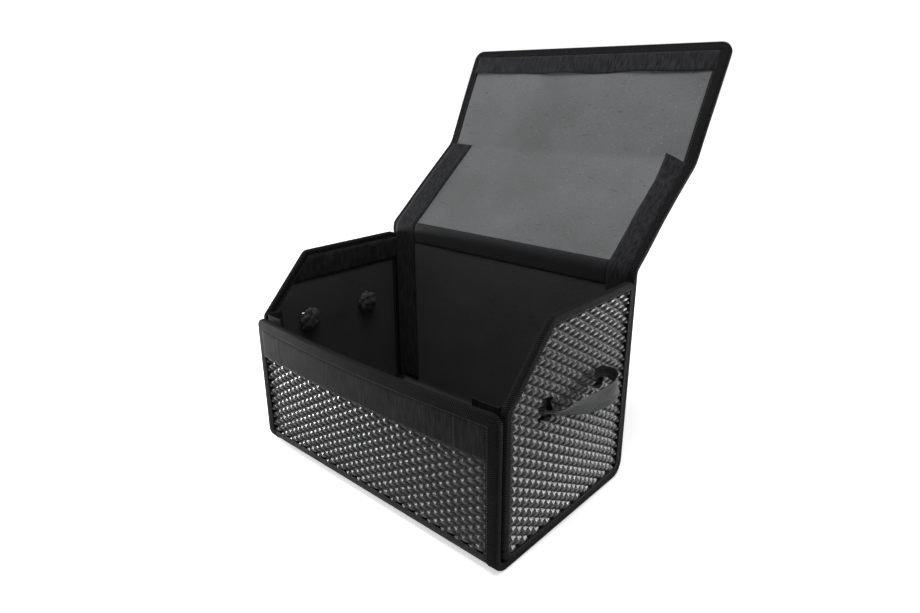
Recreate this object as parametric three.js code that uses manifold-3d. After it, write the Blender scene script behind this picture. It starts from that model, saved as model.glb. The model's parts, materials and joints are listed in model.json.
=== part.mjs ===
// Folding trunk organizer made of studded foam mat, with edges bound in woven tape.
// One long sheet forms the front wall, the base and the back wall, and runs on as the lid.
// Two separate side walls stand on the base between the front and the back.
// Millimetres, +X to the right, +Y to the back, +Z up, origin under the middle of the base.
import * as THREE from "three";
import { mergeVertices } from "three/addons/utils/BufferGeometryUtils.js";
import Module from "manifold-3d";

const wasm = await Module();
wasm.setup();

// Box
const box_width = 497; // over the outer faces of the two side walls
const box_depth = 307; // over the outer faces of the front and back walls
const side_height = 313; // top edge of the side walls above the ground
const front_height = 220; // top edge of the front wall above the ground
const slant_start = 97; // from the front face back to the top corner of the slanted side edge
const slant_angle = THREE.MathUtils.degToRad(47); // slope of that edge
const sheet = 9; // thickness of the foam mat over its studs
const sheet_width = 496; // width of the long sheet
const wall_bend = 22; // outside radius of the two bends along the base
const front_slot = 2.5; // open slot between the front wall and the side walls
const gap = 0.3; // clearance between pieces that lie on each other

// Rounded corners
const front_corner = 14; // top corners of the front wall
const side_low_corner = 20; // two lower corners of a side wall
const side_slant_corner = 15; // corner where a side wall's top edge turns down
const side_top_corner = 12; // the other upper corners of a side wall
const lid_corner = 18; // free corners of the lid

// Studded face: rhombic pyramids between crossing grooves
const stud_width = 25; // from one stud to the next in a row
const stud_height = 15; // from one row of studs to the next row in line
const groove_depth = 4; // from the tips of the studs down to the grooves
const back_studs_head = 57; // from the hinge line down to the back wall's uppermost studs
const stud_border = 1.2; // least plain rim between the studs and the tape
const tip_drop = 0.05; // the studs end this far under the face of the mat

// Woven edge tape, folded over every edge
const tape = 1.2; // thickness
const tape_cover = 18; // width on each face of the long sheet and the lid
const side_tape_cover = 12; // width on each face of the side walls
const fold_tape_reach = 5; // how far the tape over a bend runs on under the base

// Hook-and-loop strips
const strip = 1.2; // thickness
const strip_width = 49;
const strip_inset = 10; // from the edge of the long sheet to a lengthwise strip
const strip_foot = 24; // lower end of the upright strips above the ground
const strip_head = 7; // from the hinge line down to the top of the rear strips
const front_strip_height = 45; // the part of the front strip that shows under the edge tape
const side_strip_height = 38; // the part of a side wall's strip that shows under the edge tape
const lid_strip_start = 8; // from the hinge line to the lid's lengthwise strips
const lid_strip_end = 6; // from the lid's fold line back to the end of those strips

// Corner tabs that hold the front wall to the side walls
const tab_reach = 40; // along the front wall
const tab_root = 30; // along the side wall
const tab_rise = 5.5; // above the top of the front wall

// Tape inside the lid hinge
const hinge_tape_foot = 26; // from the hinge line down to its lower edge
const hinge_tape_head = 5; // from the hinge line down to its upper edge

// Lid
const lid_seat = 8.5; // clearance between the closed lid and the side walls
const lid_end_length = 42; // flap that closes over the front wall
const lid_open_angle = THREE.MathUtils.degToRad(38.9); // rise of the open lid behind the box
const lid_bend_angle = THREE.MathUtils.degToRad(27.4); // bend at the fold of the open lid
const lid_drop_angle = THREE.MathUtils.degToRad(20); // how far under level the lid can hang

// Handles of webbing
const webbing = 2; // thickness
const webbing_width = 24;
const handle_height = 194; // middle of the handle holes above the ground
const handle_span = 127; // between the middles of the two holes
const handle_middle = 2.5; // middle between the holes, behind the middle of the box
const handle_hole_length = 26;
const handle_hole_height = 28;
const handle_hole_corner = 5;
const handle_droop = 0.4; // drop of the webbing for each millimetre that it stands off the wall

const half_depth = box_depth / 2;
const half_width = box_width / 2;
const half_sheet = sheet_width / 2;
const half_thick = sheet / 2;
const front_inside = -half_depth + sheet;
const back_inside = half_depth - sheet;
const side_inside = half_width - sheet;
const hinge_y = half_depth - half_thick;
const hinge_z = side_height + lid_seat + half_thick;
const side_front = front_inside + front_slot;
const side_back = back_inside - gap;
const side_foot = sheet + gap;
const slant_top_y = -half_depth + slant_start;
const side_front_height = side_height - (slant_top_y - side_front) * Math.tan(slant_angle);
const tape_seat = tape + gap; // the mat is cut back this far where the tape covers it
const cover_seat = tape_cover + gap;
const side_cover_seat = side_tape_cover + gap;
const sheet_face_half = half_sheet - cover_seat;
const front_face_top = front_height - cover_seat;
const front_strip_foot = front_face_top - front_strip_height;

// The closed lid lies level over the side walls, bends down the slant and hangs over the front.
const lid_lift = hinge_z - side_height;
const lid_fold_y = slant_top_y - lid_lift * Math.tan(slant_angle / 2);
const lid_top_length = hinge_y - lid_fold_y;
const closed_flap_y = -half_depth - 2 * (gap + strip) - gap - half_thick;
const lid_slope_length = (lid_fold_y - closed_flap_y) / Math.cos(slant_angle);
const fold_start = half_thick * Math.tan(slant_angle) + gap / Math.cos(slant_angle);
const lid_start = (half_thick + gap) / Math.cos(lid_drop_angle);
const lid_start_bevel = half_thick * Math.tan(lid_drop_angle);

const arc_steps = 3;
const over = 1; // how far a cutting solid reaches past the face that it cuts

const studded_foam = () => new THREE.MeshStandardMaterial({ color: 0x46474a, roughness: 0.85, metalness: 0 });
const smooth_foam = () => new THREE.MeshStandardMaterial({ color: 0x66676a, roughness: 0.8, metalness: 0 });
const woven = () => new THREE.MeshStandardMaterial({ color: 0x303134, roughness: 0.9, metalness: 0 });
const pile = () => new THREE.MeshStandardMaterial({ color: 0x222326, roughness: 1, metalness: 0 });

// Closed geometry to solid and back
function solidOf(geometry) {
  const bare = geometry.index ? geometry.toNonIndexed() : geometry.clone();
  bare.deleteAttribute("normal");
  bare.deleteAttribute("uv");
  const merged = mergeVertices(bare, 1e-4);
  return new wasm.Manifold(
    new wasm.Mesh({
      numProp: 3,
      vertProperties: merged.attributes.position.array,
      triVerts: new Uint32Array(merged.index.array),
    }),
  );
}

function geometryOf(solid) {
  const mesh = solid.getMesh();
  const places = new Float32Array(mesh.numVert * 3);
  for (let i = 0; i < mesh.numVert; i++) {
    const start = i * mesh.numProp;
    places.set(mesh.vertProperties.subarray(start, start + 3), i * 3);
  }
  const geometry = new THREE.BufferGeometry();
  geometry.setAttribute("position", new THREE.BufferAttribute(places, 3));
  geometry.setIndex(new THREE.BufferAttribute(new Uint32Array(mesh.triVerts), 1));
  geometry.computeVertexNormals();
  return geometry;
}

// A shape's own plane is turned to a wall by the directions of its right and its up. The
// prism's depth then runs out of the wall.
const to_right = new THREE.Vector3(1, 0, 0);
const to_left = new THREE.Vector3(-1, 0, 0);
const to_back = new THREE.Vector3(0, 1, 0);
const upwards = new THREE.Vector3(0, 0, 1);

function facing(right, up, origin = new THREE.Vector3()) {
  const out = new THREE.Vector3().crossVectors(right, up);
  return new THREE.Matrix4().makeBasis(right, up, out).setPosition(origin);
}

const lengthwise = facing(to_back, upwards); // shapes of depth and height, with width as depth
const frontwise = facing(to_right, upwards); // shapes of width and height, with depth to the front

function prism(shape, low, high, place = new THREE.Matrix4()) {
  const options = { depth: high - low, bevelEnabled: false, curveSegments: arc_steps };
  const geometry = new THREE.ExtrudeGeometry(shape, options).translate(0, 0, low);
  return solidOf(geometry.applyMatrix4(place));
}

function plate(x0, y0, z0, x1, y1, z1) {
  return prism(rounded(rectangle(x0, y0, x1, y1)), z0, z1);
}

// An outline is a list of corners [x, y, radius], counter-clockwise and convex.
function rectangle(x0, y0, x1, y1, radius = 0) {
  return [
    [x0, y0, radius],
    [x1, y0, radius],
    [x1, y1, radius],
    [x0, y1, radius],
  ];
}

function inset(corners, distance) {
  const count = corners.length;
  const lines = corners.map(([x, y], i) => {
    const [next_x, next_y] = corners[(i + 1) % count];
    const length = Math.hypot(next_x - x, next_y - y);
    const along = [(next_x - x) / length, (next_y - y) / length];
    return { x: x - along[1] * distance, y: y + along[0] * distance, along };
  });
  return corners.map(([, , radius], i) => {
    const before = lines[(i + count - 1) % count];
    const after = lines[i];
    const cross = before.along[0] * after.along[1] - before.along[1] * after.along[0];
    const dx = after.x - before.x;
    const dy = after.y - before.y;
    const reach = (dx * after.along[1] - dy * after.along[0]) / cross;
    const x = before.x + before.along[0] * reach;
    const y = before.y + before.along[1] * reach;
    return [x, y, Math.max(radius - distance, 0)];
  });
}

function rounded(corners) {
  const count = corners.length;
  const shape = new THREE.Shape();
  corners.forEach(([x, y, radius], i) => {
    const [last_x, last_y] = corners[(i + count - 1) % count];
    const [next_x, next_y] = corners[(i + 1) % count];
    const back = Math.atan2(last_y - y, last_x - x);
    const ahead = Math.atan2(next_y - y, next_x - x);
    const turn = THREE.MathUtils.euclideanModulo(back - ahead, 2 * Math.PI);
    const cut = radius / Math.tan(turn / 2);
    const start_x = x + Math.cos(back) * cut;
    const start_y = y + Math.sin(back) * cut;
    if (i === 0) {
      shape.moveTo(start_x, start_y);
    } else {
      shape.lineTo(start_x, start_y);
    }
    if (radius > 0) {
      const middle = ahead + turn / 2;
      const centre_x = x + (Math.cos(middle) * radius) / Math.sin(turn / 2);
      const centre_y = y + (Math.sin(middle) * radius) / Math.sin(turn / 2);
      shape.absarc(centre_x, centre_y, radius, back + Math.PI / 2, ahead - Math.PI / 2, false);
    }
  });
  shape.closePath();
  return shape;
}

function polygon(points) {
  return new THREE.Shape(points.map(([x, y]) => new THREE.Vector2(x, y)));
}

// The space between the studs of a face: a block over the face whose underside falls from the
// tip of each stud to the crossings of the grooves. It fills the middle of the area with whole
// half studs.
function grooves(x0, y0, x1, y1) {
  const step_x = stud_width / 2;
  const step_y = stud_height / 2;
  const count_x = Math.floor((x1 - x0) / step_x);
  const count_y = Math.floor((y1 - y0) / step_y);
  const first_x = (x0 + x1 - count_x * step_x) / 2;
  const first_y = (y0 + y1 - count_y * step_y) / 2;
  const is_tip = (i, j) => (i + j) % 2 === 0;
  const places = [];
  for (const is_top of [false, true]) {
    for (let j = 0; j <= count_y; j++) {
      for (let i = 0; i <= count_x; i++) {
        const surface = is_tip(i, j) ? -tip_drop : -groove_depth;
        places.push(first_x + i * step_x, first_y + j * step_y, is_top ? over : surface);
      }
    }
  }
  const row = count_x + 1;
  const layer = row * (count_y + 1);
  const faces = [];
  const addSquare = (a, b, c, d) => faces.push(a, b, c, a, c, d);
  for (let j = 0; j < count_y; j++) {
    for (let i = 0; i < count_x; i++) {
      const a = j * row + i;
      const b = a + 1;
      const c = b + row;
      const d = a + row;
      if (is_tip(i, j)) {
        addSquare(b, a, d, c);
      } else {
        addSquare(a, d, c, b);
      }
      addSquare(a + layer, b + layer, c + layer, d + layer);
    }
  }
  for (let i = 0; i < count_x; i++) {
    const far = count_y * row + i;
    addSquare(i, i + 1, i + 1 + layer, i + layer);
    addSquare(far + 1, far, far + layer, far + 1 + layer);
  }
  for (let j = 0; j < count_y; j++) {
    const left = j * row;
    const right = left + count_x;
    addSquare(left + row, left, left + layer, left + row + layer);
    addSquare(right, right + row, right + row + layer, right + layer);
  }
  const block = new THREE.BufferGeometry();
  block.setAttribute("position", new THREE.Float32BufferAttribute(places, 3));
  block.setIndex(faces);
  return block;
}

const part = new THREE.Group();

function addPiece(name, solid, material, parent = part) {
  const mesh = new THREE.Mesh(geometryOf(solid), material());
  mesh.name = name;
  parent.add(mesh);
}

// The piece on the right as given, and its mirror image on the left
function addPair(name, solid, material, parent = part) {
  addPiece("right_" + name, solid, material, parent);
  addPiece("left_" + name, solid, material, parent);
  parent.children[parent.children.length - 1].scale.x = -1;
}

// Long sheet: front wall, base and back wall in one, with a round top edge on the hinge line.
// A skin is taken off each face.
function sheetProfile(skin, front_top) {
  const outside = wall_bend - skin;
  const inside = wall_bend - sheet + skin;
  const front_bend = -half_depth + wall_bend;
  const back_bend = half_depth - wall_bend;
  const shape = new THREE.Shape();
  shape.moveTo(front_inside - skin, front_top);
  shape.lineTo(-half_depth + skin, front_top);
  shape.absarc(front_bend, wall_bend, outside, Math.PI, 1.5 * Math.PI, false);
  shape.absarc(back_bend, wall_bend, outside, 1.5 * Math.PI, 2 * Math.PI, false);
  shape.absarc(hinge_y, hinge_z, half_thick - skin, 0, Math.PI, false);
  shape.absarc(back_bend, wall_bend, inside, 2 * Math.PI, 1.5 * Math.PI, true);
  shape.absarc(front_bend, wall_bend, inside, 1.5 * Math.PI, Math.PI, true);
  shape.closePath();
  return shape;
}

function sheetSolid(skin, half, front_top) {
  return prism(sheetProfile(skin, front_top), -half, half, lengthwise);
}

// What the rounding takes off a top corner of the front wall
function frontCornerCut(side, half, top, radius) {
  const x = side * half;
  const centre_x = x - side * radius;
  const shape = new THREE.Shape();
  shape.moveTo(centre_x, top + over);
  shape.lineTo(centre_x, top);
  shape.absarc(centre_x, top - radius, radius, Math.PI / 2, side > 0 ? 0 : Math.PI, side > 0);
  shape.lineTo(x + side * over, top - radius);
  shape.lineTo(x + side * over, top + over);
  shape.closePath();
  return prism(shape, -front_inside - over, half_depth + over, frontwise);
}

function roundedSheet(skin) {
  const half = half_sheet - skin;
  const top = front_height - skin;
  const radius = front_corner - skin;
  return sheetSolid(skin, half, top)
    .subtract(frontCornerCut(-1, half, top, radius))
    .subtract(frontCornerCut(1, half, top, radius));
}

// A band round the outside of the front bend, let into the sheet; turned round for the rear bend
function bendBand(end, depth, slack, lift, half) {
  const centre = -half_depth + wall_bend;
  const start = centre + fold_tape_reach + slack;
  const head = wall_bend + slack;
  const outer = wall_bend + lift;
  const inner = wall_bend - depth;
  const shape = new THREE.Shape();
  shape.moveTo(start, depth);
  shape.lineTo(centre, depth);
  shape.absarc(centre, wall_bend, inner, 1.5 * Math.PI, Math.PI, true);
  shape.lineTo(centre - inner, head);
  shape.lineTo(centre - outer, head);
  shape.absarc(centre, wall_bend, outer, Math.PI, 1.5 * Math.PI, false);
  shape.lineTo(start, -lift);
  shape.closePath();
  const turn = new THREE.Matrix4().makeRotationZ(end > 0 ? Math.PI : 0);
  return prism(shape, -half, half, turn.multiply(lengthwise));
}

const studs_half = sheet_face_half - stud_border;
const studs_foot = wall_bend + gap + stud_border;
const front_grooves = grooves(-studs_half, studs_foot, studs_half, front_strip_foot - stud_border);
const back_grooves = grooves(-studs_half, studs_foot, studs_half, hinge_z - back_studs_head);
front_grooves.applyMatrix4(facing(to_right, upwards, new THREE.Vector3(0, -half_depth, 0)));
back_grooves.applyMatrix4(facing(to_left, upwards, new THREE.Vector3(0, half_depth, 0)));

const body_sheet = roundedSheet(tape_seat)
  .add(sheetSolid(0, sheet_face_half, front_face_top))
  .subtract(bendBand(-1, tape_seat, gap, over, half_sheet))
  .subtract(bendBand(1, tape_seat, gap, over, half_sheet))
  .subtract(solidOf(front_grooves))
  .subtract(solidOf(back_grooves));
addPiece("body_sheet", body_sheet, studded_foam);

const body_edge_tape = roundedSheet(0)
  .subtract(sheetSolid(-over, half_sheet - tape_cover, front_height - tape_cover))
  .subtract(roundedSheet(tape));
addPiece("body_edge_tape", body_edge_tape, woven);
addPiece("front_fold_tape", bendBand(-1, tape, 0, 0, sheet_face_half), woven);
addPiece("rear_fold_tape", bendBand(1, tape, 0, 0, sheet_face_half), woven);

// Side wall with its edge tape, standing on the base
const side_corners = [
  [side_front, side_foot, side_low_corner],
  [side_back, side_foot, side_low_corner],
  [side_back, side_height, side_top_corner],
  [slant_top_y, side_height, side_slant_corner],
  [side_front, side_front_height, side_top_corner],
];

function sideSlab(inward, skin) {
  return prism(rounded(inset(side_corners, inward)), side_inside + skin, half_width - skin, lengthwise);
}

const side_grooves = grooves(
  side_front + side_cover_seat + stud_border,
  side_foot + side_cover_seat + stud_border,
  side_back - side_cover_seat - stud_border,
  side_height - side_cover_seat - stud_border,
);
side_grooves.applyMatrix4(facing(to_back, upwards, new THREE.Vector3(half_width, 0, 0)));

let side_wall = sideSlab(tape_seat, tape_seat)
  .add(sideSlab(side_cover_seat, 0))
  .subtract(solidOf(side_grooves).intersect(sideSlab(side_cover_seat + stud_border, -2 * over)));
for (const end of [-1, 1]) {
  const middle = handle_middle + (end * handle_span) / 2;
  const hole = rectangle(
    middle - handle_hole_length / 2,
    handle_height - handle_hole_height / 2,
    middle + handle_hole_length / 2,
    handle_height + handle_hole_height / 2,
    handle_hole_corner,
  );
  side_wall = side_wall.subtract(prism(rounded(hole), side_inside - over, half_width + over, lengthwise));
}
addPair("side_wall", side_wall, studded_foam);

const side_tape = sideSlab(0, 0)
  .subtract(sideSlab(side_tape_cover, -over))
  .subtract(sideSlab(tape, tape));
addPair("side_tape", side_tape, woven);

// Loop strip along the inside of a side wall's top edge, cut to the slant
const side_strip_top = side_height - side_cover_seat;
const side_strip_foot = side_strip_top - side_strip_height;
const side_strip_start = slant_top_y + side_cover_seat * Math.tan(slant_angle / 2);
const side_strip_shape = polygon([
  [side_strip_start - side_strip_height / Math.tan(slant_angle), side_strip_foot],
  [side_back - gap, side_strip_foot],
  [side_back - gap, side_strip_top],
  [side_strip_start, side_strip_top],
]);
const side_strip = prism(side_strip_shape, side_inside - gap - strip, side_inside - gap, lengthwise);
addPair("side_loop_strip", side_strip, pile);

// Handle: one band of webbing through both holes, with its ends lying inside on the wall.
// Each point is the distance behind the hole's middle and the distance off the outer face.
const handle_inside = -sheet - 2 * gap - webbing / 2;
const handle_front_path = [
  [-27, handle_inside],
  [-10, handle_inside],
  [-4, -7.5],
  [1, -4],
  [6, 0.5],
  [12, 6],
  [26, 12],
  [52, 16],
];
const handle_rear_path = [
  [-42, 21],
  [-14, 30],
  [8, 35],
  [19, 30],
  [18, 17],
  [9, 4],
  [3, -2.5],
  [-3, -7],
  [-10, handle_inside],
  [-27, handle_inside],
];
const handle_steps = 22;

const handle_points = [
  [handle_front_path, handle_middle - handle_span / 2],
  [handle_rear_path, handle_middle + handle_span / 2],
].flatMap(([path, hole]) => {
  return path.map(([along, off]) => new THREE.Vector3(half_width + off, hole + along, 0));
});
const handle_curve = new THREE.CatmullRomCurve3(handle_points, false, "centripetal");
const handle_near = [];
const handle_far = [];
for (let i = 0; i <= handle_steps; i++) {
  const point = handle_curve.getPointAt(i / handle_steps);
  const tangent = handle_curve.getTangentAt(i / handle_steps);
  const across_x = (-tangent.y * webbing) / 2;
  const across_y = (tangent.x * webbing) / 2;
  handle_near.push([point.x + across_x, point.y + across_y]);
  handle_far.push([point.x - across_x, point.y - across_y]);
}
const handle_foot = handle_height - webbing_width / 2;
const handle_outline = polygon([...handle_near, ...handle_far.reverse()]);
const handle_band = geometryOf(prism(handle_outline, handle_foot, handle_foot + webbing_width));
const handle_places = handle_band.getAttribute("position");
for (let i = 0; i < handle_places.count; i++) {
  const stand_off = Math.max(handle_places.getX(i) - half_width, 0);
  handle_places.setZ(i, handle_places.getZ(i) - handle_droop * stand_off);
}
addPair("handle", solidOf(handle_band), woven);

// Tab sewn to the side wall's front edge and pressed on the strip inside the front wall
const tab_x = side_inside - gap;
const tab_y = front_inside + 2 * gap + strip;
const tab_shape = polygon([
  [tab_x, tab_y],
  [tab_x, tab_y + tab_root],
  [tab_x - strip, tab_y + tab_root],
  [tab_x - strip, tab_y + strip],
  [tab_x - tab_reach, tab_y + strip],
  [tab_x - tab_reach, tab_y],
]);
addPair("front_tab", prism(tab_shape, strip_foot, front_height + tab_rise), pile);

// Upright strips at both ends of the inside of the front wall and of the back wall
const strip_outer = half_sheet - strip_inset;
const strip_inner = strip_outer - strip_width;
const front_strip_y = front_inside + gap;
const rear_strip_y = back_inside - gap;
const front_upright = [strip_inner, front_strip_y, strip_foot, strip_outer, front_strip_y + strip];
const rear_upright = [strip_inner, rear_strip_y - strip, strip_foot, strip_outer, rear_strip_y];
addPair("front_loop_strip", plate(...front_upright, front_face_top), pile);
addPair("rear_strip", plate(...rear_upright, hinge_z - strip_head), pile);

// Wide strip outside the front wall, under the top edge tape
const outer_strip_y = -half_depth - gap;
const outer_strip = plate(
  -sheet_face_half,
  outer_strip_y - strip,
  front_strip_foot,
  sheet_face_half,
  outer_strip_y,
  front_face_top,
);
addPiece("outer_loop_strip", outer_strip, pile);

// Tape across the inside of the lid hinge, between the two rear strips
const hinge_tape = plate(
  -strip_inner + gap,
  rear_strip_y - strip,
  hinge_z - hinge_tape_foot,
  strip_inner - gap,
  rear_strip_y,
  hinge_z - hinge_tape_head,
);
addPiece("hinge_tape", hinge_tape, woven);

// Lid: each panel lies along +Y from its own fold line, with its inner face up and a round
// far edge that the next panel turns on.
function lidSlab(start, end, skin, bevel, from, to) {
  const thick = half_thick - skin;
  const shape = new THREE.Shape();
  shape.moveTo(start + skin, thick);
  shape.lineTo(start + skin, 0);
  shape.lineTo(start + skin + bevel, -thick);
  shape.absarc(end, 0, thick, -Math.PI / 2, Math.PI / 2, false);
  shape.closePath();
  return prism(shape, from, to, lengthwise);
}

function addLidPanel(name, parent, start, end, bevel) {
  const rim_half = half_sheet - tape_seat;
  const panel = lidSlab(start, end, tape_seat, bevel, -rim_half, rim_half);
  const face = lidSlab(start, end, 0, bevel, -sheet_face_half, sheet_face_half);
  addPiece(name + "_panel", panel.add(face), smooth_foam, parent);
  const lip = half_sheet - tape_cover;
  const groove = lidSlab(start - over, end, tape, bevel, lip - over, half_sheet - tape);
  addPair(name + "_tape", lidSlab(start, end, 0, bevel, lip, half_sheet).subtract(groove), woven, parent);
}

const lid_face = half_thick + gap; // height of the strips' underside in a panel's own frame

const lid_top = new THREE.Group();
lid_top.position.set(0, hinge_y, hinge_z);
lid_top.rotation.x = lid_open_angle;
part.add(lid_top);
addLidPanel("lid_top", lid_top, lid_start, lid_top_length, lid_start_bevel);
const lid_strip = plate(
  strip_inner,
  lid_strip_start,
  lid_face,
  strip_outer,
  lid_top_length - lid_strip_end,
  lid_face + strip,
);
addPair("lid_strip", lid_strip, pile, lid_top);

const lid_slope = new THREE.Group();
lid_slope.position.y = lid_top_length;
lid_slope.rotation.x = lid_bend_angle;
lid_top.add(lid_slope);
addLidPanel("lid_slope", lid_slope, fold_start, lid_slope_length, 0);

const lid_end = new THREE.Group();
lid_end.position.y = lid_slope_length;
lid_slope.add(lid_end);

// End flap, square at its fold and round at its free corners
function flapSlab(start, inward, skin) {
  const half = half_sheet - inward;
  const end = lid_end_length - inward;
  const radius = Math.max(lid_corner - inward, 0);
  const outline = rounded([
    [-half, start, 0],
    [half, start, 0],
    [half, end, radius],
    [-half, end, radius],
  ]);
  return prism(outline, -half_thick + skin, half_thick - skin);
}

const flap_rim = flapSlab(fold_start + tape_seat, tape_seat, tape_seat);
const flap_face = flapSlab(fold_start, cover_seat, 0);
addPiece("lid_end_panel", flap_rim.add(flap_face), smooth_foam, lid_end);

const flap_tape = flapSlab(fold_start, 0, 0)
  .subtract(flapSlab(fold_start - over, tape_cover, -over))
  .subtract(flapSlab(fold_start - over, tape, tape));
addPiece("lid_end_tape", flap_tape, woven, lid_end);

const hook_strip = plate(
  -sheet_face_half,
  fold_start + gap,
  lid_face,
  sheet_face_half,
  lid_end_length - cover_seat,
  lid_face + strip,
);
addPiece("lid_hook_strip", hook_strip, pile, lid_end);

export default part;
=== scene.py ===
import json
import math

import bmesh
import bpy
from mathutils import Euler, Matrix, Vector, noise


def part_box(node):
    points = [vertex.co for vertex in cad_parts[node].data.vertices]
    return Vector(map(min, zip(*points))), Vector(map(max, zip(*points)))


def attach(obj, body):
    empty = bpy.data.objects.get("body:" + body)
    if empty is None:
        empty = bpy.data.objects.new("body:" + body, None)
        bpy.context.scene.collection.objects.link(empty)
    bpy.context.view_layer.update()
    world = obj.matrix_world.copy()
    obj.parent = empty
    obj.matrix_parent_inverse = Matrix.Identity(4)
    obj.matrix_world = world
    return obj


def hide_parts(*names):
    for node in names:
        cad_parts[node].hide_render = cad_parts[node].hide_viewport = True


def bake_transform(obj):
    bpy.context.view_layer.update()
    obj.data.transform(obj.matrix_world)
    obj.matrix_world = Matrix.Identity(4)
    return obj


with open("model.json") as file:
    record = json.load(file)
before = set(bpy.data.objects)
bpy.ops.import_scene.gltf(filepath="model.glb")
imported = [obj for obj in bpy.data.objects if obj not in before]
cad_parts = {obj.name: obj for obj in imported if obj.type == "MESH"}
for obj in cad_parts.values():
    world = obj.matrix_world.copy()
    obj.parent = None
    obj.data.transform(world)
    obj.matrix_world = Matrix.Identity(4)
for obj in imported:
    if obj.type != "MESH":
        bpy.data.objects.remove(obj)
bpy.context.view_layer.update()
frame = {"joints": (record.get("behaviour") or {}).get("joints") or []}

# Camera of the photograph: a little above the box, to the right of its front, with a wide lens.
# Place and lens come from the corners of the box in the photograph.
camera_data = bpy.data.cameras.new("camera")
camera_data.sensor_width = 36
camera_data.lens = 25.3
camera = bpy.data.objects.new("camera", camera_data)
camera.location = (0.6448, -0.6565, 0.5737)
camera_turn = Euler((0, 0, math.radians(42.12))).to_matrix()
camera_tilt = Euler((math.radians(90 - 19.09), 0, 0)).to_matrix()
camera_roll = Euler((0, 0, math.radians(-0.2))).to_matrix()
camera.rotation_euler = (camera_turn @ camera_tilt @ camera_roll).to_euler()
bpy.context.scene.collection.objects.link(camera)
bpy.context.scene.camera = camera

# White studio: the surround is white to the eye, to gloss and through glass, and dimmer as a source
# of light.
def add_node(tree, kind, links=(), **settings):
    """A node with its inputs: a number is set on the socket, and a socket is linked to it."""
    node = tree.nodes.new("ShaderNode" + kind)
    for key, value in settings.items():
        setattr(node, key, value)
    for key, value in dict(links).items():
        if isinstance(value, bpy.types.NodeSocket):
            tree.links.new(value, node.inputs[key])
        else:
            node.inputs[key].default_value = value
    return node


def calculate(tree, operation, *values):
    return add_node(tree, "Math", dict(enumerate(values)), operation=operation).outputs[0]


def ramp(tree, value, low, high, start=0.0, end=1.0):
    """Carries a value over from one range to another."""
    links = {"Value": value, "From Min": low, "From Max": high, "To Min": start, "To Max": end}
    return add_node(tree, "MapRange", links).outputs["Result"]


def seen_directly(tree):
    """One for rays from the camera, from gloss and through glass, and otherwise zero."""
    ray = add_node(tree, "LightPath").outputs
    seen = calculate(tree, "MAXIMUM", ray["Is Camera Ray"], ray["Is Glossy Ray"])
    return calculate(tree, "MAXIMUM", seen, ray["Is Transmission Ray"])


world = bpy.data.worlds.new("studio")
world.use_nodes = True
surround = world.node_tree.nodes["Background"]
surround.inputs["Color"].default_value = (1, 1, 1, 1)
ambient = 0.22
level = ramp(world.node_tree, seen_directly(world.node_tree), 0.0, 1.0, start=ambient)
world.node_tree.links.new(level, surround.inputs["Strength"])
bpy.context.scene.world = world
bpy.context.scene.view_settings.view_transform = "Standard"

# Floor: matt white, with some light of its own where it is seen directly, so that only the
# object's shadow shows. The light grows with the distance and hides the floor's edge.
floor_half = 12
floor_drop = 0.0005
bm = bmesh.new()
bmesh.ops.create_grid(bm, x_segments=1, y_segments=1, size=floor_half)
floor_mesh = bpy.data.meshes.new("floor")
bm.to_mesh(floor_mesh)
bm.free()
floor = bpy.data.objects.new("floor", floor_mesh)
floor.location = (0, 0, -floor_drop)
floor_paint = bpy.data.materials.new("floor_paint")
floor_paint.use_nodes = True
floor_tree = floor_paint.node_tree
floor_shader = floor_tree.nodes["Principled BSDF"]
floor_shader.inputs["Base Color"].default_value = (0.9, 0.9, 0.9, 1)
floor_shader.inputs["Roughness"].default_value = 0.9
floor_shader.inputs["Emission Color"].default_value = (1, 1, 1, 1)
floor_place = add_node(floor_tree, "TexCoord").outputs["Object"]
floor_distance = add_node(floor_tree, "VectorMath", {0: floor_place}, operation="LENGTH")
floor_far = ramp(floor_tree, floor_distance.outputs["Value"], 0.6, 1.8, start=0.55)
floor_glow = calculate(floor_tree, "MULTIPLY", seen_directly(floor_tree), floor_far)
floor_tree.links.new(floor_glow, floor_shader.inputs["Emission Strength"])
floor_mesh.materials.append(floor_paint)
bpy.context.scene.collection.objects.link(floor)

# Three soft boxes: two low ones, at the left and behind on the right, whose light grazes the studs,
# and a large one overhead.
light_aim = Vector((0, 0, 0.12))
for name, place, wide, tall, power in [
    ("left_light", (-1.15, -0.235, 0.15), 0.3, 0.24, 20),
    ("rear_light", (0.86, 1.4, 0.13), 0.5, 0.24, 24),
    ("top_light", (0.0, -0.15, 2.2), 1.3, 1.3, 52),
]:
    light_data = bpy.data.lights.new(name, "AREA")
    light_data.shape = "RECTANGLE"
    light_data.size = wide
    light_data.size_y = tall
    light_data.energy = power
    light = bpy.data.objects.new(name, light_data)
    light.location = place
    light.rotation_euler = (light_aim - Vector(place)).to_track_quat("-Z", "Y").to_euler()
    bpy.context.scene.collection.objects.link(light)

# The long sheet of foam mat: front wall, base, back wall and lid in one piece, cut from a roll and
# folded. Its middle plane is followed from the front wall's top edge to the lid's end, as
# straight runs and bends.
_, tape_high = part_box("body_edge_tape")
joints = {joint["name"]: Vector(joint["pos_m"]) for joint in frame["joints"]}
hinge, fold, flap = joints["lid_hinge"], joints["lid_fold"], joints["flap_fold"]
thick = 0.009
sheet_half = tape_high.x
depth_half = tape_high.y
front_height = 0.22
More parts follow.
